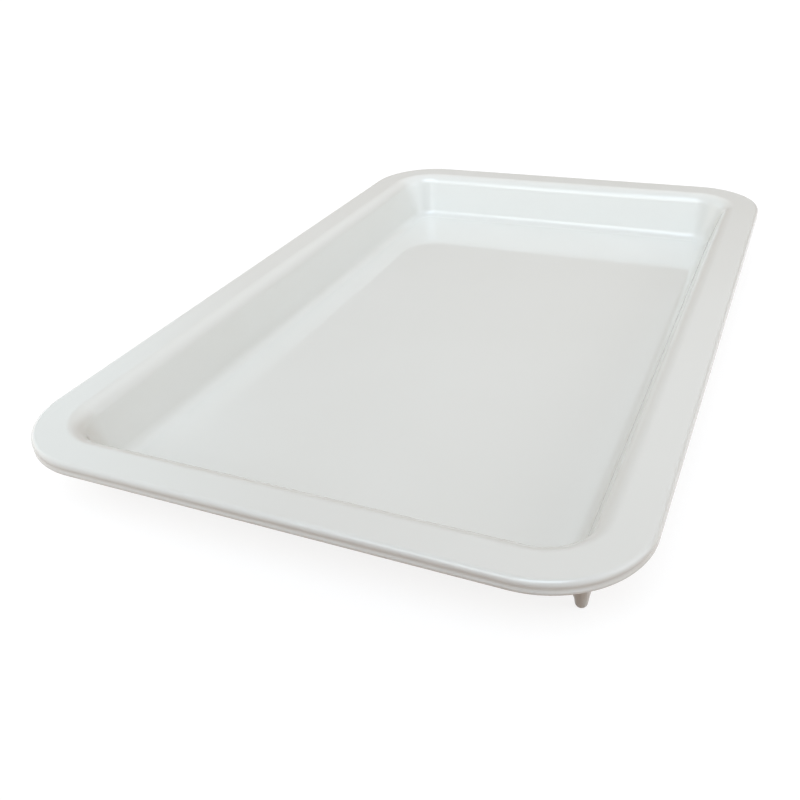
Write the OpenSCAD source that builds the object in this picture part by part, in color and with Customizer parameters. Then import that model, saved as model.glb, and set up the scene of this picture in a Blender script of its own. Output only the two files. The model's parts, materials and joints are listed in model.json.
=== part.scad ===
// Shallow paint tray: one thin moulded basin with a broad flat rim, on four push-in feet.
// Millimetres. The origin is on the ground under the middle of the tray, +Y runs along
// its length and +Z is up.

/* [Rim] */
// Length of the tray over the rim
tray_length = 470; // [400:1:600]
// Width of the tray over the rim
tray_width = 300; // [240:1:400]
// Radius of the rim's outer corners, seen from above
rim_corner_radius = 46; // [42:0.5:70]
// Flat width of the rim, from its outer edge to the start of the basin's lip
rim_width = 16; // [12:0.5:22]
// Radius that rolls the rim's top into the skirt
edge_radius = 2.2; // [2:0.1:3]
// Height of the skirt that hangs from the rim's outer edge
skirt_depth = 7; // [6:0.5:14]
// Diameter of the bead along the skirt's lower edge
bead_diameter = 2.8; // [2.2:0.1:3.2]
// Depth of the shallow groove between the rolled edge and the bead
groove_depth = 0.2; // [0.1:0.05:0.6]
// Height of that groove's mouth
groove_height = 2.4; // [1.2:0.1:2.6]
// Radius of the fillet inside, between the skirt and the rim's underside
skirt_fillet = 1.2; // [0.4:0.1:2]

/* [Basin] */
// Depth of the floor below the top of the rim
basin_depth = 31; // [24:0.5:60]
// Radius of the basin's corners, at the start of the lip
basin_corner_radius = 30; // [26:0.5:40]
// Lean of the walls from upright, in degrees, so that the moulding leaves its tool
wall_draft = 17.5; // [10:0.5:22]
// Radius over the lip, from the rim down into the wall
lip_radius = 9; // [6:0.5:12]
// Radius of the cove between wall and floor
cove_radius = 7; // [4:0.5:9]
// Thickness of the moulding
wall = 2; // [1.6:0.1:2.6]

/* [Sockets and feet] */
// Gap between the underside of the floor and the ground
ground_gap = 6; // [4:0.5:12]
// Direction of each foot from its basin corner's centre, in degrees from the X axis
foot_angle = 28; // [20:1:70]
// Height of the socket's mouth above the ground, which is the foot's free length
socket_height = 16; // [12:0.5:22]
// Diameter of the ball end of a foot
foot_tip = 5.4; // [4:0.1:7]
// Diameter of the small flat that the foot stands on
foot_flat = 2; // [1:0.1:2.4]
// Draft of the foot, in degrees on each side
foot_draft = 8; // [4:0.5:10]
// Diameter of the spigot that plugs into the socket
spigot_diameter = 5.4; // [4:0.1:6]
// Length of the spigot
spigot_length = 7.5; // [5:0.5:9]
// Height and depth of the chamfer that leads the spigot into its socket
spigot_lead = 0.6; // [0.3:0.1:1]
// Radial clearance round the spigot
spigot_clearance = 0.1; // [0.05:0.05:0.2]
// Depth that the socket has beyond the spigot's end
socket_spare = 0.5; // [0.3:0.1:1]
// How far a socket's outside sinks into the basin wall at its mouth
socket_sink = 0.3; // [0.1:0.1:0.8]
// Thickness of the web on the inboard side of a foot
web_thickness = 2.4; // [1.6:0.1:3.2]
// Height above the ground at which the web leaves the foot
web_start = 3; // [3:0.1:6]
// Lean of the web's lower edge from upright, in degrees
web_lean = 38; // [20:1:40]
// Gap between a foot and the basin wall beside it
wall_gap = 0.3; // [0.2:0.05:0.5]

/* [Tool marks under the floor] */
// Diameter of the dished gate mark in the middle
gate_diameter = 12; // [8:1:20]
// Depth of the gate mark, and height of the stub left in it
gate_depth = 0.5; // [0.3:0.1:0.7]
// Diameter of the stub that the cut gate leaves
gate_stub = 2.6; // [2:0.1:4]
// Diameter of an ejector pin's mark
pin_mark = 8; // [5:0.5:12]
// Depth of an ejector pin's mark
pin_depth = 0.2; // [0.1:0.05:0.4]
// Distance of the outer pin marks from the edge of the floor's flat underside
pin_inset = 35; // [10:1:50]
// Number of rows of pin marks along the tray
pin_rows = 4; // [2:1:6]

/* [Hidden] */
$fn = 96;
past = 1; // how far a cutter runs past the face it cuts
off_white = "#ecebe6";

// Heights above the ground
floor_under = ground_gap;
floor_top = floor_under + wall;
rim_top = floor_top + basin_depth;
rim_under = rim_top - wall;
skirt_foot = rim_top - skirt_depth;

// Corner centres, as distances from the middle of the tray
rim_x = tray_width / 2 - rim_corner_radius;
rim_y = tray_length / 2 - rim_corner_radius;
basin_x = tray_width / 2 - rim_width - basin_corner_radius;
basin_y = tray_length / 2 - rim_width - basin_corner_radius;

// The basin's section, drawn outward from a corner centre. The wall runs straight between
// the lip's circle, which lies in the solid, and the cove's circle, which lies in the hollow.
out_of_wall = [cos(wall_draft), -sin(wall_draft)];
lip_centre = [basin_corner_radius, rim_top - lip_radius];
wall_head = lip_centre - lip_radius * out_of_wall;
wall_foot_z = floor_top + cove_radius - cove_radius * sin(wall_draft);
wall_foot = [wall_head[0] - (wall_head[1] - wall_foot_z) * tan(wall_draft), wall_foot_z];
cove_centre = wall_foot - cove_radius * out_of_wall;
// Distance of the wall's outer face from the corner centre, at height z
function wall_outside(z) =
    wall_head[0] - (wall_head[1] - z) * tan(wall_draft) + wall / cos(wall_draft);

// The foot's cone touches its ball end, and the socket carries the cone on upward.
ball_radius = foot_tip / 2;
ball_height = sqrt(pow(ball_radius, 2) - pow(foot_flat / 2, 2));
function foot_radius(z) =
    (ball_radius + (z - ball_height) * sin(foot_draft)) / cos(foot_draft);
socket_radius = foot_radius(socket_height);
foot_reach = wall_outside(socket_height) + socket_radius - socket_sink;
bore_radius = spigot_diameter / 2 + spigot_clearance;
bore_length = spigot_length + socket_spare;

// The outermost pin marks lie at these distances from the middle of the tray.
pin_x = basin_x + cove_centre[0] - pin_inset;
pin_y = basin_y + cove_centre[0] - pin_inset;

// Area inside the basin's surface, or inside that surface moved outward into the solid by t
module basin_area(t, top = rim_top) {
    intersection() {
        union() {
            difference() {
                polygon([
                    [0, top], [lip_centre[0], top], lip_centre,
                    wall_head + t * out_of_wall, wall_foot + t * out_of_wall,
                    [cove_centre[0], floor_top - t], [0, floor_top - t]
                ]);
                translate(lip_centre) circle(r = lip_radius - t);
            }
            translate(cove_centre) circle(r = cove_radius + t);
        }
        square([basin_corner_radius, top]);
    }
}

// Section through the basin's lip, wall, cove and floor
module basin_section() {
    difference() {
        basin_area(wall);
        basin_area(0, rim_top + past);
    }
}

// Section through the flat rim, its rolled edge, the groove, the skirt and the bead
module rim_section() {
    edge_centre = [rim_corner_radius - edge_radius, rim_top - edge_radius];
    bead_radius = bead_diameter / 2;
    bead_centre = [rim_corner_radius - bead_radius, skirt_foot + bead_radius];
    groove_radius = (pow(groove_height / 2, 2) + pow(groove_depth, 2)) / (2 * groove_depth);
    groove_centre = [
        rim_corner_radius - groove_depth + groove_radius, (edge_centre[1] + bead_centre[1]) / 2
    ];
    fillet_centre = [rim_corner_radius - wall - skirt_fillet, rim_under - skirt_fillet];
    difference() {
        union() {
            translate([0, rim_under]) square([edge_centre[0], wall]);
            intersection() {
                translate(edge_centre) circle(r = edge_radius);
                translate(edge_centre) square(edge_radius);
            }
            translate([rim_corner_radius - wall, bead_centre[1]])
                square([wall, edge_centre[1] - bead_centre[1]]);
            difference() {
                translate(fillet_centre) square(skirt_fillet);
                translate(fillet_centre) circle(r = skirt_fillet);
            }
            translate(bead_centre) circle(r = bead_radius);
        }
        translate(groove_centre) circle(r = groove_radius);
    }
}

// Carries a section round a rectangle with the given corner centres
module carried_round(x, y) {
    for (side = [0 : 3]) {
        out = side % 2 == 0 ? x : y;
        along = side % 2 == 0 ? y : x;
        rotate([0, 0, 90 * side]) translate([out, along, 0]) {
            rotate_extrude(angle = 90) children();
            rotate([90, 0, 0]) linear_extrude(height = 2 * along) children();
        }
    }
}

// Level slab between the corner centres
module slab_between(x, y, low, high) {
    translate([-x, -y, low]) cube([2 * x, 2 * y, high - low]);
}

module rim() {
    difference() {
        union() {
            carried_round(rim_x, rim_y) rim_section();
            slab_between(rim_x, rim_y, rim_under, rim_top);
        }
        carried_round(basin_x, basin_y)
            translate([0, rim_under - past]) square([basin_corner_radius, wall + 2 * past]);
        slab_between(basin_x, basin_y, rim_under - past, rim_top + past);
    }
}

module basin() {
    carried_round(basin_x, basin_y) basin_section();
    slab_between(basin_x, basin_y, floor_under, floor_top);
}

// Places its children at the rear right foot and mirrors them to the other corners.
// +X points away from the basin's corner centre, and the foot's axis is at the origin.
module at_foot(left, front) {
    mirror([left ? 1 : 0, 0, 0]) mirror([0, front ? 1 : 0, 0])
        translate([basin_x, basin_y, 0]) rotate([0, 0, foot_angle])
            translate([foot_reach, 0, 0]) children();
}

// Tube that grows down from the rim and lip, half sunk in the corner wall
module socket() {
    difference() {
        translate([0, 0, socket_height])
            cylinder(r = socket_radius, h = rim_top - wall / 2 - socket_height);
        translate([-foot_reach, 0, 0]) rotate_extrude() basin_area(wall / 2, rim_top);
    }
}

module socket_bore() {
    translate([0, 0, socket_height - past]) cylinder(r = bore_radius, h = bore_length + past);
}

module tool_marks() {
    translate([0, 0, floor_under - past]) {
        difference() {
            cylinder(d = gate_diameter, h = gate_depth + past);
            cylinder(d = gate_stub, h = gate_depth + past);
        }
        for (side = [-1, 1], row = [0 : pin_rows - 1])
            translate([side * pin_x, -pin_y + row * 2 * pin_y / (pin_rows - 1), 0])
                cylinder(d = pin_mark, h = pin_depth + past);
    }
}

module tray() {
    color(off_white) difference() {
        union() {
            rim();
            basin();
            for (left = [false, true], front = [false, true]) at_foot(left, front) socket();
        }
        for (left = [false, true], front = [false, true]) at_foot(left, front) socket_bore();
        tool_marks();
    }
}

// Round leg of a foot, from its ball end up to the shoulder that meets the socket's mouth
module leg() {
    rotate_extrude() {
        polygon([
            [0, ball_height],
            [ball_radius * cos(foot_draft), ball_height - ball_radius * sin(foot_draft)],
            [socket_radius, socket_height], [0, socket_height]
        ]);
        intersection() {
            translate([0, ball_height]) circle(r = ball_radius);
            square([ball_radius, 2 * ball_radius]);
        }
    }
}

// Web on the inboard side of a leg, which fills the wedge between the leg and the wall
module web() {
    leg_side = foot_radius(web_start);
    edge_run = (socket_height - web_start) * tan(web_lean);
    rotate([90, 0, 0]) linear_extrude(height = web_thickness, center = true) polygon([
        [0, web_start], [-leg_side, web_start],
        [-leg_side - edge_run, socket_height], [0, socket_height]
    ]);
}

// Spigot with a chamfered end, standing on the shoulder
module spigot() {
    rotate_extrude() polygon([
        [0, 0], [spigot_diameter / 2, 0], [spigot_diameter / 2, spigot_length - spigot_lead],
        [spigot_diameter / 2 - spigot_lead, spigot_length], [0, spigot_length]
    ]);
}

module foot() {
    color(off_white) {
        difference() {
            union() {
                leg();
                web();
            }
            translate([-foot_reach, 0, 0]) rotate_extrude() basin_area(wall + wall_gap);
        }
        translate([0, 0, socket_height]) spigot();
    }
}

tray();
at_foot(true, true) foot();  // foot_front_left
at_foot(false, true) foot();  // foot_front_right
at_foot(true, false) foot();  // foot_rear_left
at_foot(false, false) foot();  // foot_rear_right
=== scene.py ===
# %% [markdown]
# # A moulded paint tray
# The tray is one thin moulding in off-white ABS, with four small feet pushed into sockets under
# its corners. The engineering model is finished before this script starts, so this lesson is about
# what comes next: a mesh smooth enough for a mirror gloss, a plastic that looks moulded, and light
# that lets something pale and shiny keep its form.

# %% Load the finished parts
import json
import math
import bmesh
import bpy
from mathutils import Matrix, Vector
from mathutils.bvhtree import BVHTree
from mathutils.interpolate import poly_3d_calc


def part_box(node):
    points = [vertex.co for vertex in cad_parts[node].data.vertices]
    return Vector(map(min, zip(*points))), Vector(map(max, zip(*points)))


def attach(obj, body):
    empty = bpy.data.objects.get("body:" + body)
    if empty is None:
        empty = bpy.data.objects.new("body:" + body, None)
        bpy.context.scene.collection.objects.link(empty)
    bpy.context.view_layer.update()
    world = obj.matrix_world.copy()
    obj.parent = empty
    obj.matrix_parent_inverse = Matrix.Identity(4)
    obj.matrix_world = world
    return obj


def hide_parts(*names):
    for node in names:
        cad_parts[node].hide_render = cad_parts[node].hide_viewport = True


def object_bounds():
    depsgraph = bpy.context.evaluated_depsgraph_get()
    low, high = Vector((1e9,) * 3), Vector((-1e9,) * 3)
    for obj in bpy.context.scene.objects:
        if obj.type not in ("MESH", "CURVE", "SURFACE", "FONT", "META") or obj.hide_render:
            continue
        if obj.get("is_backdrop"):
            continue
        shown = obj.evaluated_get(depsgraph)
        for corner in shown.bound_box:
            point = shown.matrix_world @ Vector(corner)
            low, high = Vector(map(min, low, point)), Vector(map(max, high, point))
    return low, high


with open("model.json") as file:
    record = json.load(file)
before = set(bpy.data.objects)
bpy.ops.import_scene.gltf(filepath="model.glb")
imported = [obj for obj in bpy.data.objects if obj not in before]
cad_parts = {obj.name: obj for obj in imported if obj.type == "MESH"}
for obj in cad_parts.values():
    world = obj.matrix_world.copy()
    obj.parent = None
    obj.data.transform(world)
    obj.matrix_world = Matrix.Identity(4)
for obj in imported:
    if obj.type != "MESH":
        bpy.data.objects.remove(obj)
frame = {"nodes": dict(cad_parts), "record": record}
cad_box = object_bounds()
scene = bpy.context.scene
MM = 0.001
tray_low, tray_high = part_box("tray")
print("parts:", ", ".join(sorted(frame["nodes"])))
print("tray in mm:", [round(side / MM, 1) for side in tray_high - tray_low])

# %% [markdown]
# ## Where the camera stands
# The camera comes first, because every choice about light and gloss is judged through it. It is
# held above the front right corner, close to the tray, with a slight tilt of the wrist. A plain
# look-at with a roll says that in the few numbers that a photographer would use.


# %% Camera
def turned_towards(place, target, roll=0.0):
    """Matrix that puts an object at place, looking at target, and rolls it about that line."""
    look = (target - place).to_track_quat("-Z", "Y").to_matrix().to_4x4()
    return Matrix.Translation(place) @ look @ Matrix.Rotation(roll, 4, "Z")


rim_top = tray_high.z
eye = Vector((178.5 * MM, -461.5 * MM, rim_top + 216.0 * MM))
gaze = Vector((16.8 * MM, -134.5 * MM, rim_top))
camera_data = bpy.data.cameras.new("camera")
camera_data.lens = 39.46
camera_data.clip_start = 0.01
camera = bpy.data.objects.new("camera", camera_data)
camera.matrix_world = turned_towards(eye, gaze, roll=math.radians(-3.82))
scene.collection.objects.link(camera)
scene.camera = camera
print("camera to what it looks at:", round((eye - gaze).length / MM), "mm")

# %% [markdown]
# ## The moulding as a swept section
# A polished tray is a mirror, and a mirror shows every facet of its mesh. The engineering mesh has
# four facets over the lip, which is right for measuring and too few for gloss, so the moulding is
# built again here with a facet at every degree of the curves that show.
#
# A moulder draws such a tray as one section carried round a rounded rectangle. The same is done
# here: a ring of points for each point of the section, and a band of quads between each ring and
# the next. The rim and the basin have their corners on different centres, so each ring says which
# path it follows.
#
# The section also knows its exact normal at each point. Those normals go into the mesh, so that a
# flat reflects as a flat right up to the start of its curve.

# %% Sizes of the section
WALL = 2 * MM
DRAFT = math.radians(17.5)
RIM_WIDTH, RIM_CORNER = 16 * MM, 46 * MM
BASIN_CORNER, LIP, COVE = 30 * MM, 9 * MM, 7 * MM
EDGE, SKIRT, BEAD, FILLET = 2.2 * MM, 7 * MM, 1.4 * MM, 1.2 * MM
GROOVE_DEPTH, GROOVE_HEIGHT = 0.2 * MM, 2.4 * MM

record_mounts = {mount["name"]: Vector(mount["pos_m"]) for mount in frame["record"]["mounts"]}
floor_top = record_mounts["floor"].z
floor_under = tray_low.z
rim_under = rim_top - WALL
half_width, half_length = tray_high.x, tray_high.y
corner_centres = {
    "rim": (half_width - RIM_CORNER, half_length - RIM_CORNER),
    "basin": (half_width - RIM_WIDTH - BASIN_CORNER, half_length - RIM_WIDTH - BASIN_CORNER),
}
FINE, COARSE = 1.0, 4.5  # degrees to a facet, on curves that show and on those that don't
print("depth inside:", round((rim_top - floor_top) / MM, 1), "mm")


# %% Pieces of a section: points (distance, height) with the normal at each
def line(start, end):
    """A straight run. The solid is on the right as it is walked, so the normal is on the left."""
    run = Vector((end[0] - start[0], end[1] - start[1])).normalized()
    return [(Vector(point), Vector((-run.y, run.x))) for point in (start, end)]


def arc(centre, radius, begin, end, hollow=False, step=FINE):
    """An arc between two angles in degrees. A hollow one has its solid outside the circle."""
    count = max(2, math.ceil(abs(end - begin) / step - 1e-6))
    begin, end = math.radians(begin), math.radians(end)
    run = []
    for i in range(count + 1):
        angle = begin + (end - begin) * i / count
        out = Vector((math.cos(angle), math.sin(angle)))
        run.append((Vector(centre) + radius * out, -out if hollow else out))
    return run


print("points over the rolled edge:", len(arc((0, 0), EDGE, 90, 0)))


# %% [markdown]
# The show side starts at the middle of the floor and walks outward: cove, wall, lip, flat rim and
# rolled edge, a shallow groove, and the bead along the bottom of the skirt. The hidden side walks
# back: up the inside of the skirt, along under the rim, and down the outside of the basin.

# %% The section
draft = math.degrees(DRAFT)
out_of_wall = Vector((math.cos(DRAFT), -math.sin(DRAFT)))
lip_centre = Vector((BASIN_CORNER, rim_top - LIP))
wall_head = lip_centre - LIP * out_of_wall
wall_foot_z = floor_top + COVE - COVE * math.sin(DRAFT)
wall_foot = Vector((wall_head.x - (wall_head.y - wall_foot_z) * math.tan(DRAFT), wall_foot_z))
cove_centre = wall_foot - COVE * out_of_wall
edge_centre = Vector((RIM_CORNER - EDGE, rim_top - EDGE))
bead_centre = Vector((RIM_CORNER - BEAD, rim_top - SKIRT + BEAD))
groove_radius = ((GROOVE_HEIGHT / 2) ** 2 + GROOVE_DEPTH**2) / (2 * GROOVE_DEPTH)
groove_middle = (edge_centre.y + bead_centre.y) / 2
groove_centre = Vector((RIM_CORNER - GROOVE_DEPTH + groove_radius, groove_middle))
groove_half = math.degrees(math.asin(GROOVE_HEIGHT / 2 / groove_radius))
skirt_inside = RIM_CORNER - WALL
bead_end = math.degrees(math.acos((skirt_inside - bead_centre.x) / BEAD))
bead_head = bead_centre.y + BEAD * math.sin(math.radians(bead_end))
fillet_centre = Vector((skirt_inside - FILLET, rim_under - FILLET))

basin_inside = [
    arc(cove_centre, COVE, -90, -draft, hollow=True),
    line(wall_foot, wall_head),
    arc(lip_centre, LIP, 180 - draft, 90),
]
rim_outside = [
    arc(edge_centre, EDGE, 90, 0),
    line((RIM_CORNER, edge_centre.y), (RIM_CORNER, groove_middle + GROOVE_HEIGHT / 2)),
    arc(groove_centre, groove_radius, 180 - groove_half, 180 + groove_half, hollow=True),
    line((RIM_CORNER, groove_middle - GROOVE_HEIGHT / 2), (RIM_CORNER, bead_centre.y)),
    arc(bead_centre, BEAD, 0, -90),
]
rim_inside = [
    arc(bead_centre, BEAD, -90, bead_end - 360, step=COARSE),
    line((skirt_inside, bead_head), (skirt_inside, fillet_centre.y)),
    arc(fillet_centre, FILLET, 0, 90, hollow=True, step=COARSE),
]
basin_outside = [
    arc(lip_centre, LIP - WALL, 90, 180 - draft, hollow=True, step=COARSE),
    line(wall_head + WALL * out_of_wall, wall_foot + WALL * out_of_wall),
    arc(cove_centre, COVE + WALL, -draft, -90, step=COARSE),
]
flat_x, flat_y = (centre + cove_centre.x for centre in corner_centres["basin"])
print("flat of the floor:", round(2 * flat_x / MM, 1), "x", round(2 * flat_y / MM, 1), "mm")

# %% [markdown]
# Two classes do the sweeping. A path is the rounded rectangle that a section is carried round. It
# is given by its middle and by how far its corner centres lie from there. With both at nothing it
# is a plain circle, so the sockets and the tool marks use the same code.
#
# A shell holds the growing mesh, with the normals and the finish of each face. A ring that is asked
# for twice is made once, so neighbouring bands share their points and the skin is watertight.


# %% The mesh builder
class Path:
    """A rounded rectangle as pairs: a corner centre, and a direction out of it."""

    def __init__(self, middle, across, along, steps):
        self.points = []
        count = steps + 1 if across else steps  # a circle's quarters share their end points
        for quarter, (sx, sy) in enumerate(((1, 1), (-1, 1), (-1, -1), (1, -1))):
            for k in range(count):
                angle = (quarter + k / steps) * math.pi / 2
                corner = Vector((middle[0] + sx * across, middle[1] + sy * along))
                self.points.append((corner, Vector((math.cos(angle), math.sin(angle)))))


class Shell:
    """A mesh in the making. A place is (distance out along the path, height)."""

    def __init__(self):
        self.points, self.faces, self.normals, self.finishes, self.rings = [], [], [], [], {}

    def ring(self, path, place):
        """The numbers of the points round the path at this place."""
        key = (id(path), round(place.x, 7), round(place.y, 7))
        if key not in self.rings:
            self.rings[key] = [len(self.points) + i for i in range(len(path.points))]
            for corner, out in path.points:
                spot = corner + place.x * out
                self.points.append((spot.x, spot.y, place.y))
        return self.rings[key]

    def face(self, corners, normals, finish):
        """One face, with a normal for each of its corners."""
        self.faces.append(corners)
        self.normals += normals
        self.finishes.append(finish)

    def band(self, path, start, next_path, end, finish):
        """Quads between two rings. Start and end are each a place with its normal."""
        here, there = self.ring(path, start[0]), self.ring(next_path, end[0])
        tilt = [
            [(n.x * out.x, n.x * out.y, n.y) for _, out in path.points] for n in (start[1], end[1])
        ]
        for i in range(len(here)):
            j = (i + 1) % len(here)
            self.face(
                [here[i], there[i], there[j], here[j]],
                [tilt[0][i], tilt[1][i], tilt[1][j], tilt[0][j]], finish,
            )

    def sweep(self, path, runs, finish):
        """Carries every run of a section round the path."""
        for run in runs:
            for start, end in zip(run, run[1:]):
                self.band(path, start, path, end, finish)

    def cap(self, path, place, up, finish):
        """A flat face inside a ring, which looks up or down."""
        ring = self.ring(path, place)
        self.face(ring if up else ring[::-1], [(0, 0, 1 if up else -1)] * len(ring), finish)

    def plate(self, loops, finish):
        """A flat underside inside the first loop, with holes where the others are."""
        flat = bmesh.new()
        index = {}
        for loop in loops:
            corners = [flat.verts.new(self.points[i]) for i in loop]
            index.update(zip(corners, loop))
            for a, b in zip(corners, corners[1:] + corners[:1]):
                flat.edges.new((a, b))
        bmesh.ops.triangle_fill(flat, use_beauty=True, edges=flat.edges[:], normal=(0, 0, -1))
        for triangle in flat.faces:
            corners = [index[corner] for corner in triangle.verts]
            if triangle.normal.z > 0:
                corners.reverse()
            self.face(corners, [(0, 0, -1)] * 3, finish)
        flat.free()

    def build(self, name):
        """The finished mesh as an object in the scene."""
        mesh = bpy.data.meshes.new(name)
        mesh.from_pydata(self.points, [], self.faces)
        mesh.polygons.foreach_set("material_index", self.finishes)
        mesh.polygons.foreach_set("use_smooth", [True] * len(self.faces))
        mesh.normals_split_custom_set(self.normals)
        piece = bpy.data.objects.new(name, mesh)
        scene.collection.objects.link(piece)
        return piece


SMALL_STEPS = 16  # to a quarter of a small circle
print("points round a small circle:", len(Path((0, 0), 0, 0, SMALL_STEPS).points))

# %% The moulded shell
SHOW, HIDDEN = 0, 1
CORNER_STEPS = 45
rim_path = Path((0, 0), *corner_centres["rim"], CORNER_STEPS)
basin_path = Path((0, 0), *corner_centres["basin"], CORNER_STEPS)

shell = Shell()
shell.cap(basin_path, basin_inside[0][0][0], True, SHOW)
shell.sweep(basin_path, basin_inside, SHOW)
shell.band(basin_path, basin_inside[-1][-1], rim_path, rim_outside[0][0], SHOW)
shell.sweep(rim_path, rim_outside, SHOW)
shell.sweep(rim_path, rim_inside, HIDDEN)
shell.band(rim_path, rim_inside[-1][-1], basin_path, basin_outside[0][0], HIDDEN)
shell.sweep(basin_path, basin_outside, HIDDEN)
print("show side and hidden side:", len(shell.faces), "faces")

# %% [markdown]
# The underside carries the signs of its making: a dished mark with the stub of the gate in the
# middle, and the shallow discs of eight ejector pins. They are holes in the flat, each with its own
# wall and ceiling.

# %% Gate mark and pin marks
GATE_RADIUS, GATE_DEPTH, STUB_RADIUS = 6 * MM, 0.5 * MM, 1.3 * MM
PIN_RADIUS, PIN_DEPTH, PIN_INSET, PIN_ROWS = 4 * MM, 0.2 * MM, 35 * MM, 4

under_edge = basin_outside[-1][-1][0]
loops = [shell.ring(basin_path, under_edge)]
pin_x, pin_y = flat_x - PIN_INSET, flat_y - PIN_INSET
for side in (-1, 1):
    for row in range(PIN_ROWS):
        spot = (side * pin_x, -pin_y + row * 2 * pin_y / (PIN_ROWS - 1))
        pin = Path(spot, 0, 0, SMALL_STEPS)
        ceiling = (PIN_RADIUS, floor_under + PIN_DEPTH)
        shell.sweep(pin, [line((PIN_RADIUS, floor_under), ceiling)], HIDDEN)
        shell.cap(pin, Vector(ceiling), False, HIDDEN)
        loops.append(shell.ring(pin, Vector((PIN_RADIUS, floor_under))))
gate = Path((0, 0), 0, 0, SMALL_STEPS)
gate_ceiling = floor_under + GATE_DEPTH
gate_walk = [
    (GATE_RADIUS, floor_under), (GATE_RADIUS, gate_ceiling),
    (STUB_RADIUS, gate_ceiling), (STUB_RADIUS, floor_under),
]
shell.sweep(gate, [line(a, b) for a, b in zip(gate_walk, gate_walk[1:])], HIDDEN)
shell.cap(gate, Vector(gate_walk[-1]), False, HIDDEN)
loops.append(shell.ring(gate, Vector(gate_walk[0])))
shell.plate(loops, HIDDEN)
print("marks under the floor:", len(loops) - 1)

# %% [markdown]
# Four round posts grow down from the rim, half sunk in the corners of the basin, and each has a
# bore that takes the spigot of a foot. The line where a post meets a drafted, rounded corner is
# awkward to work out. So the posts and the bores are made as closed solids of their own, and exact
# booleans join the one and cut the other, as a toolmaker would. A post's head has to end inside
# the 2 mm skin, or it would show in the basin, so it is a stack of rings that follows the middle of
# the skin.

# %% Sockets for the feet
SOCKET_RADIUS, BORE_RADIUS = 4.62 * MM, 2.8 * MM
SOCKET_MOUTH, BORE_DEPTH = 16 * MM, 8 * MM
HEAD_RINGS = 6


def middle_of_wall(distance):
    """Height of the middle of the basin's skin at a distance from its corner centre."""
    middle_radius = LIP - WALL / 2
    head = lip_centre - middle_radius * out_of_wall
    if distance >= lip_centre.x:
        return rim_top - WALL / 2
    if distance >= head.x:
        return lip_centre.y + math.sqrt(middle_radius**2 - (lip_centre.x - distance) ** 2)
    return head.y - (head.x - distance) / math.tan(DRAFT)


posts, bores = Shell(), Shell()
for name, stand in record_mounts.items():
    if not name.startswith("stand"):
        continue
    circle = Path(stand.xy, 0, 0, SMALL_STEPS)
    mouth = (SOCKET_RADIUS, SOCKET_MOUTH)
    head = [(SOCKET_RADIUS * (k + 1) / HEAD_RINGS, rim_top) for k in range(HEAD_RINGS)]
    posts.cap(circle, Vector(head[0]), True, HIDDEN)
    posts.sweep(circle, [line(a, b) for a, b in zip(head, head[1:])], HIDDEN)
    posts.sweep(circle, [line(head[-1], mouth)], HIDDEN)
    posts.cap(circle, Vector(mouth), False, HIDDEN)
    corner = Vector([math.copysign(c, side) for c, side in zip(corner_centres["basin"], stand)])
    for place in head:
        for i in posts.ring(circle, Vector(place)):
            x, y, _ = posts.points[i]
            posts.points[i] = (x, y, middle_of_wall((Vector((x, y)) - corner).length))
    bore_top = (BORE_RADIUS, SOCKET_MOUTH + BORE_DEPTH)
    bore_foot = (BORE_RADIUS, SOCKET_MOUTH - MM)
    bores.cap(circle, Vector(bore_top), True, HIDDEN)
    bores.sweep(circle, [line(bore_top, bore_foot)], HIDDEN)
    bores.cap(circle, Vector(bore_foot), False, HIDDEN)
print("posts and bores:", len(posts.faces), "and", len(bores.faces), "faces")

# %% [markdown]
# A boolean leaves one clean skin, but it loses the exact normals. Every face of the result is a
# piece of one face that went in, so each finds the face that it came from and takes its finish and
# its normals back from there, blended to where its own corners lie.


# %% One skin
def joined(name, body, added, removed):
    """One mesh piece: the body with the added solids joined on and the removed ones cut out."""
    # The booleans, one after the other
    piece = body.build(name)
    tools = []
    for operation, solids in (("UNION", added), ("DIFFERENCE", removed)):
        tools.append(solids.build(operation.lower()))
        change = piece.modifiers.new(tools[-1].name, "BOOLEAN")
        change.operation, change.solver, change.object = operation, "EXACT", tools[-1]
    evaluated = piece.evaluated_get(bpy.context.evaluated_depsgraph_get())
    skin = bpy.data.meshes.new_from_object(evaluated)

    # Every face that went in, with its finish and the normals of its corners
    points, faces, normals, finishes, starts = [], [], [], [], [0]
    for solids in (body, added, removed):
        faces += [[len(points) + i for i in face] for face in solids.faces]
        points += [Vector(point) for point in solids.points]
        normals += [Vector(normal) for normal in solids.normals]
        finishes += solids.finishes
    for face in faces:
        starts.append(starts[-1] + len(face))

    # Each face of the skin takes after the nearest of them. A cut face looks the other way
    tree = BVHTree.FromPolygons(points, faces)
    skin_normals, skin_finishes = [], []
    for face in skin.polygons:
        source = tree.find_nearest(face.center)[2]
        corners = [points[i] for i in faces[source]]
        tilts = normals[starts[source] : starts[source + 1]]
        side = 1 if tilts[0].dot(face.normal) > 0 else -1
        for i in face.vertices:
            weights = poly_3d_calc(corners, skin.vertices[i].co)
            tilt = sum((w * t for w, t in zip(weights, tilts)), Vector((0, 0, 0)))
            skin_normals.append(side * tilt.normalized())
        skin_finishes.append(finishes[source])
    skin.polygons.foreach_set("material_index", skin_finishes)
    skin.polygons.foreach_set("use_smooth", [True] * len(skin_finishes))
    skin.normals_split_custom_set(skin_normals)
    piece.modifiers.clear()
    piece.data = skin
    for tool in tools:
        bpy.data.objects.remove(tool)
    return piece


moulding = joined("moulding", shell, posts, bores)
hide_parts("tray")
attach(moulding, "root")

# %% Is it watertight?
check = bmesh.new()
check.from_mesh(moulding.data)
open_edges = sum(not edge.is_manifold for edge in check.edges)
volume = round(check.calc_volume() / MM**3)
print("moulding:", len(check.faces), "faces,", open_edges, "open edges,", volume, "mm3")
check.free()

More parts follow.
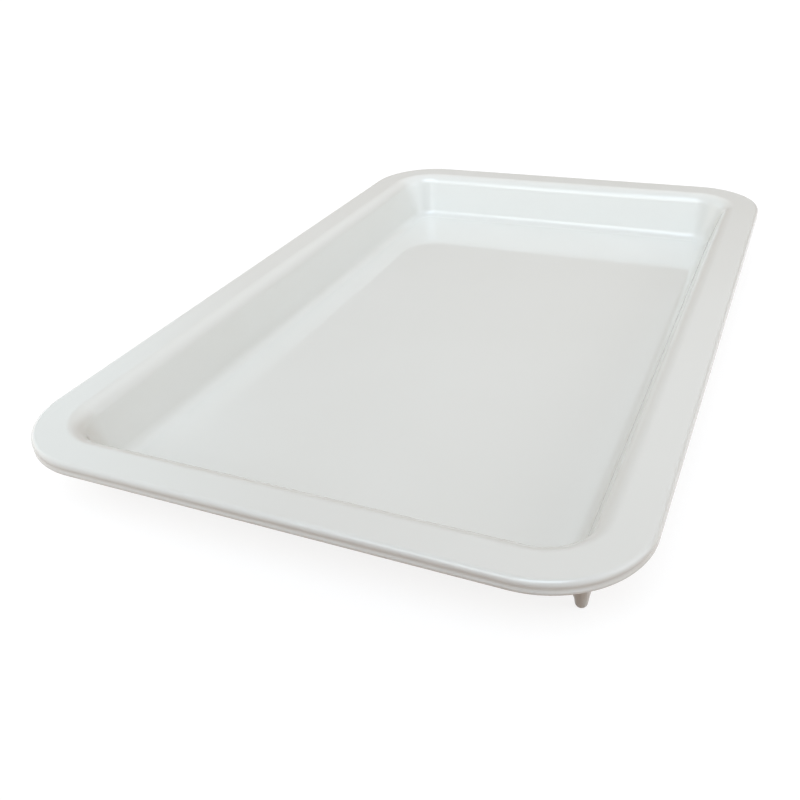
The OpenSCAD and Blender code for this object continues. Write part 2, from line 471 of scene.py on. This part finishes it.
# %% [markdown]
# ## One small helper for every material
# A procedural finish is a short chain of nodes. This function adds one node, sets its own
# properties, and fills its inputs with a value or with another node's output. Colours are written
# as they would be picked on a screen, and a second function turns them into the linear values that
# light is added up in.


# %% Helpers for materials
def add(tree, kind, inputs=None, **settings):
    """Adds one node. Each input is a value or the output that feeds it."""
    node = tree.nodes.new(kind)
    for name, value in settings.items():
        setattr(node, name, value)
    for name, value in (inputs or {}).items():
        if isinstance(value, bpy.types.NodeSocket):
            tree.links.new(value, node.inputs[name])
        else:
            node.inputs[name].default_value = value
    return node


def linear(hex_colour):
    """An sRGB colour such as #ecebe6, as the linear RGBA that shaders use."""
    parts = [int(hex_colour[i : i + 2], 16) / 255 for i in (1, 3, 5)]
    return [c / 12.92 if c <= 0.04045 else ((c + 0.055) / 1.055) ** 2.4 for c in parts] + [1.0]


def new_tree(owner):
    """The empty node tree of a material or a world."""
    owner.use_nodes = True
    owner.node_tree.nodes.clear()
    return owner.node_tree


print("a pale grey in linear light:", [round(c, 3) for c in linear("#e0e1de")])

# %% [markdown]
# ## One plastic, three finishes
# The tray and its feet are injection moulded in ABS, an opaque styrene plastic with a refractive
# index of about 1.54. Moulded plastic copies the steel that it sets against, so one off-white can
# have several surfaces:
#
# - The show side copies polished steel, and is nearly a mirror. What gives it away as plastic is
#   that it isn't quite flat. It sinks a little between stiffer places as it cools, which bends
#   long reflections gently, and the melt leaves a faint ripple behind it.
# - The hidden side copies steel as the spark eroder left it. Its grain is about 0.1 mm across, so
#   it looks satin and hides marks.
# - The feet come from a small machined tool without a last polish. They are between the two, and
#   their round tips are scuffed dull and a shade greyer by the bench that they slide on.
#
# The colour could be one value, but real masterbatch is never stirred that well. Two close
# off-whites in soft clouds keep large plain faces from looking computed.

# %% The plastic itself
ABS_IOR = 1.54
OFF_WHITE = ("#dfe0dc", "#e2e3e0")


def moulded_abs(name, roughness, waves, tip=None):
    """ABS with an uneven gloss. Waves are (width, depth, detail) of its bumps, coarsest first."""
    material = bpy.data.materials.new(name)
    tree = new_tree(material)
    place = add(tree, "ShaderNodeTexCoord").outputs["Object"]

    # Tint: clouds about 90 mm across
    clouds = add(
        tree, "ShaderNodeTexNoise", {"Vector": place, "Scale": 1 / (90 * MM), "Detail": 2.0}
    )
    tint = add(
        tree, "ShaderNodeMix",
        {"Factor": clouds.outputs["Fac"], 6: linear(OFF_WHITE[0]), 7: linear(OFF_WHITE[1])},
        data_type="RGBA",
    ).outputs[2]

    # Gloss: handling and wiping leave it a little uneven, in patches about 35 mm across
    patches = add(
        tree, "ShaderNodeTexNoise", {"Vector": place, "Scale": 1 / (35 * MM), "Detail": 3.0}
    )
    gloss = add(
        tree, "ShaderNodeMapRange",
        {"Value": patches.outputs["Fac"], "To Min": roughness * 0.8, "To Max": roughness * 1.3},
    ).outputs["Result"]

    # Scuffs: the lowest few millimetres are dulled in fine streaks, and slightly soiled
    if tip:
        height = add(tree, "ShaderNodeSeparateXYZ", {"Vector": place}).outputs["Z"]
        low = add(
            tree, "ShaderNodeMapRange",
            {"Value": height, "From Min": tip, "From Max": 0.2 * MM, "To Min": 0.0, "To Max": 1.0},
            interpolation_type="SMOOTHSTEP",
        ).outputs["Result"]
        streaks = add(
            tree, "ShaderNodeTexNoise", {"Vector": place, "Scale": 1 / (0.9 * MM), "Detail": 2.0}
        )
        scuff = add(
            tree, "ShaderNodeMath", {0: low, 1: streaks.outputs["Fac"]},
            operation="MULTIPLY", use_clamp=True,
        ).outputs[0]
        tint = add(
            tree, "ShaderNodeMix",
            {"Factor": scuff, 6: tint, 7: linear("#c4c2bc")}, data_type="RGBA",
        ).outputs[2]
        gloss = add(
            tree, "ShaderNodeMapRange", {"Value": scuff, "To Min": gloss, "To Max": 0.55}
        ).outputs["Result"]

    # Bumps: each set of waves rides on the coarser one before it
    shape = None
    for width, depth, detail in waves:
        noise = add(
            tree, "ShaderNodeTexNoise", {"Vector": place, "Scale": 1 / width, "Detail": detail}
        )
        settings = {"Height": noise.outputs["Fac"], "Distance": depth, "Strength": 1.0}
        if shape:
            settings["Normal"] = shape
        shape = add(tree, "ShaderNodeBump", settings).outputs["Normal"]

    shader = add(
        tree, "ShaderNodeBsdfPrincipled",
        {"Base Color": tint, "Roughness": gloss, "IOR": ABS_IOR, "Normal": shape},
    )
    add(tree, "ShaderNodeOutputMaterial", {"Surface": shader.outputs["BSDF"]})
    return material


# %% [markdown]
# The depths are worked out from what a moulder would measure. Sink is some 20 microns over 60 mm.
# The ripple is 4 mm wide and about a micron deep, and is drawn at two so that it just shows. The
# grain is drawn at 0.8 mm, eight times too coarse, because a real one is finer than a picture can
# hold, and its roughness of 0.38 stands for the part too fine to draw.

# %% The three finishes
SINK = (60 * MM, 0.020 * MM, 1.0)
polished_abs = moulded_abs("polished_abs", 0.03, [SINK, (4 * MM, 0.002 * MM, 1.0)])
eroded_abs = moulded_abs("spark_eroded_abs", 0.38, [SINK, (0.8 * MM, 0.030 * MM, 2.0)])
foot_abs = moulded_abs("machined_abs_feet", 0.16, [(3 * MM, 0.004 * MM, 2.0)], tip=4 * MM)

for material in (polished_abs, eroded_abs):
    moulding.data.materials.append(material)
for name, part in frame["nodes"].items():
    part.data.materials.clear()
    part.data.materials.append(polished_abs if name == "tray" else foot_abs)
print("finishes:", ", ".join(m.name for m in (polished_abs, eroded_abs, foot_abs)))

# %% [markdown]
# ## A room for it to reflect
# A pale glossy thing shows its form by what it reflects, so the room matters as much as the light.
# Lamps could do it, but each would leave a hard white spot in a surface as glossy as this one. Here
# the world itself is the room: dim and warm all round, as bare walls are, with soft round patches
# of light where a studio would hang its big diffusers. A patch is found from the direction alone:
# the dot product with its middle is the cosine of the angle to it, and a smooth step of that makes
# a disc that fades to nothing at its reach.
#
# Bearings run clockwise from straight ahead, which is +Y. Three broad patches behind the camera do
# most of the lighting. The three small ones after them are what makes the gloss crisp: the high
# one draws the lines along the head and foot of the far wall, and the low two mark its corners.
# Those on the left and right keep the side walls apart in tone, and weak ones ahead put a sheen on
# the far end of the floor. The last one is straight down, where the floor hides it. It counts only
# when the tray is lifted off the floor and looked at from below, and it is cool, to balance the
# warm walls.

# %% The room
world = bpy.data.worlds.new("room")
scene.world = world
tree = new_tree(world)
sky = add(tree, "ShaderNodeTexCoord").outputs["Generated"]
BARE_WALLS, WALL_STRENGTH = "#ffe0c6", 0.33
light = WALL_STRENGTH * Vector(linear(BARE_WALLS)[:3])
patches = (  # bearing, height and reach in degrees, colour, strength
    (160, 60, 25, "#ddefff", 5.75),
    (200, 45, 20, "#ecf9ff", 3.10),
    (187, 25, 30, "#f2fbff", 1.40),
    (194, 31, 9, "#ffffff", 1.80),
    (170, 19, 8, "#ffffff", 1.00),
    (216, 19, 8, "#ffffff", 0.80),
    (85, 20, 40, "#f2faff", 1.65),
    (273, 3, 40, "#fffbf9", 1.20),
    (295, 27, 28, "#c8f0ff", 0.75),
    (318, 12, 32, "#f2f4ff", 0.12),
    (0, 45, 30, "#fff8f2", 0.40),
    (0, -90, 90, "#e6f5ff", 0.70),
)
for bearing, height, reach, colour, strength in patches:
    bearing, height = math.radians(bearing), math.radians(height)
    level = math.cos(height)
    middle = Vector((math.sin(bearing) * level, math.cos(bearing) * level, math.sin(height)))
    nearness = add(
        tree, "ShaderNodeVectorMath", {0: sky, 1: middle}, operation="DOT_PRODUCT"
    ).outputs["Value"]
    share = add(
        tree, "ShaderNodeMapRange",
        {"Value": nearness, "From Min": math.cos(math.radians(reach)), "From Max": 1.0},
        interpolation_type="SMOOTHSTEP",
    ).outputs["Result"]
    tone = strength * Vector(linear(colour)[:3])
    patch = add(
        tree, "ShaderNodeVectorMath", {0: tone, "Scale": share}, operation="SCALE"
    ).outputs[0]
    light = add(tree, "ShaderNodeVectorMath", {0: light, 1: patch}, operation="ADD").outputs[0]
print("patches of light:", len(patches))

# %% [markdown]
# The backdrop is white, and it is white only to the camera. The gloss has to see the room instead:
# a white backdrop in every reflection would fill the highlights in and turn polish into chalk. No
# piece here is metal or glass, so nothing needs the backdrop behind it.

# %% The backdrop
rays = add(tree, "ShaderNodeLightPath").outputs
room = add(tree, "ShaderNodeBackground", {"Color": light, "Strength": 1.0})
white = add(tree, "ShaderNodeBackground", {"Color": (1, 1, 1, 1), "Strength": 1.0})
backdrop = add(
    tree, "ShaderNodeMixShader",
    {0: rays["Is Camera Ray"], 1: room.outputs[0], 2: white.outputs[0]},
)
add(tree, "ShaderNodeOutputWorld", {"Surface": backdrop.outputs[0]})
print("nodes in the room:", len(tree.nodes))

# %% [markdown]
# ## A plain floor
# The floor is a pale matt board that carries on past the edge of the view. A board bright enough to
# read as pure white would throw that much light up under the tray and flatten it. So the board is
# two things at once. What the eye sees, directly or in a reflection, is a grey board with a glow
# that brings it up to white, and the grey is what still takes the tray's shadow. What lights the
# tray is a warm brown one, like a wooden bench, and it gives the skirt and feet their warm shade.

# %% Floor
HALF_FLOOR = 8.0
BENCH_BROWN, BOARD_GREY, BOARD_GLOW = "#9c7d64", 0.22, 0.84


def stage_board(name, corners, surface):
    """One flat face of the stage. Surface fills the tree and returns the shader's output."""
    mesh = bpy.data.meshes.new(name)
    mesh.from_pydata(corners, [], [(0, 1, 2, 3)])
    stand_in = bpy.data.objects.new(name, mesh)
    scene.collection.objects.link(stand_in)
    stand_in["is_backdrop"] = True
    material = bpy.data.materials.new(name)
    tree = new_tree(material)
    add(tree, "ShaderNodeOutputMaterial", {"Surface": surface(tree)})
    mesh.materials.append(material)
    return stand_in


def matt_board(tree):
    """White with a grey's shadow to the eye and to the gloss, and a warm brown as a light."""
    rays = add(tree, "ShaderNodeLightPath").outputs
    mirrored = add(
        tree, "ShaderNodeMath", {0: rays["Is Glossy Ray"], 1: rays["Is Transmission Ray"]},
        operation="ADD",
    ).outputs[0]
    seen = add(
        tree, "ShaderNodeMath", {0: rays["Is Camera Ray"], 1: mirrored},
        operation="ADD", use_clamp=True,
    ).outputs[0]
    bench = add(tree, "ShaderNodeBsdfDiffuse", {"Color": linear(BENCH_BROWN)})
    grey = add(tree, "ShaderNodeBsdfDiffuse", {"Color": [BOARD_GREY] * 3 + [1.0]})
    glow = add(tree, "ShaderNodeEmission", {"Color": (1, 1, 1, 1), "Strength": BOARD_GLOW})
    board = add(tree, "ShaderNodeAddShader", {0: grey.outputs[0], 1: glow.outputs[0]})
    return add(
        tree, "ShaderNodeMixShader", {0: seen, 1: bench.outputs[0], 2: board.outputs[0]}
    ).outputs[0]


floor = stage_board(
    "matt_board",
    [(x * HALF_FLOOR, y * HALF_FLOOR, 0) for x, y in ((-1, -1), (1, -1), (1, 1), (-1, 1))],
    matt_board,
)
print("floor:", 2 * HALF_FLOOR, "m square")

# %% [markdown]
# ## A dark card behind the camera
# Anyone who takes a picture from this near stands in their own light, and that shade is what draws
# the near edge and the skirt under it. A dark felt card takes the person's place. It holds back
# light only: neither the eye nor the gloss sees it, and it is clear of the floor.

# %% Dark card
CARD_LEFT, CARD_RIGHT, CARD_LOW, CARD_HIGH, CARD_BACK = -0.18, 0.50, 0.12, 0.52, -0.75


def dark_felt(tree):
    """Wool felt takes in nearly all the light that reaches it."""
    return add(tree, "ShaderNodeBsdfDiffuse", {"Color": linear("#3a3430")}).outputs[0]


card = stage_board(
    "dark_felt",
    [
        (x, CARD_BACK, z)
        for x, z in (
            (CARD_LEFT, CARD_LOW), (CARD_RIGHT, CARD_LOW),
            (CARD_RIGHT, CARD_HIGH), (CARD_LEFT, CARD_HIGH),
        )
    ],
    dark_felt,
)
card.visible_camera = False
card.visible_glossy = False
print("card:", round(CARD_RIGHT - CARD_LEFT, 2), "x", round(CARD_HIGH - CARD_LOW, 2), "m")

# %% [markdown]
# ## Colours as they are written
# The standard view adds no film curve, so a hex colour comes out about as it was picked. The last
# step prints the box of the engineering parts and the box of what is shown.

# %% View, sizes and finish
scene.view_settings.view_transform = "Standard"
visual_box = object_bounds()
for name, (low, high) in (("cad", cad_box), ("visual", visual_box)):
    print(name, "box in mm:", [round(side / MM, 2) for side in Vector(high) - Vector(low)])
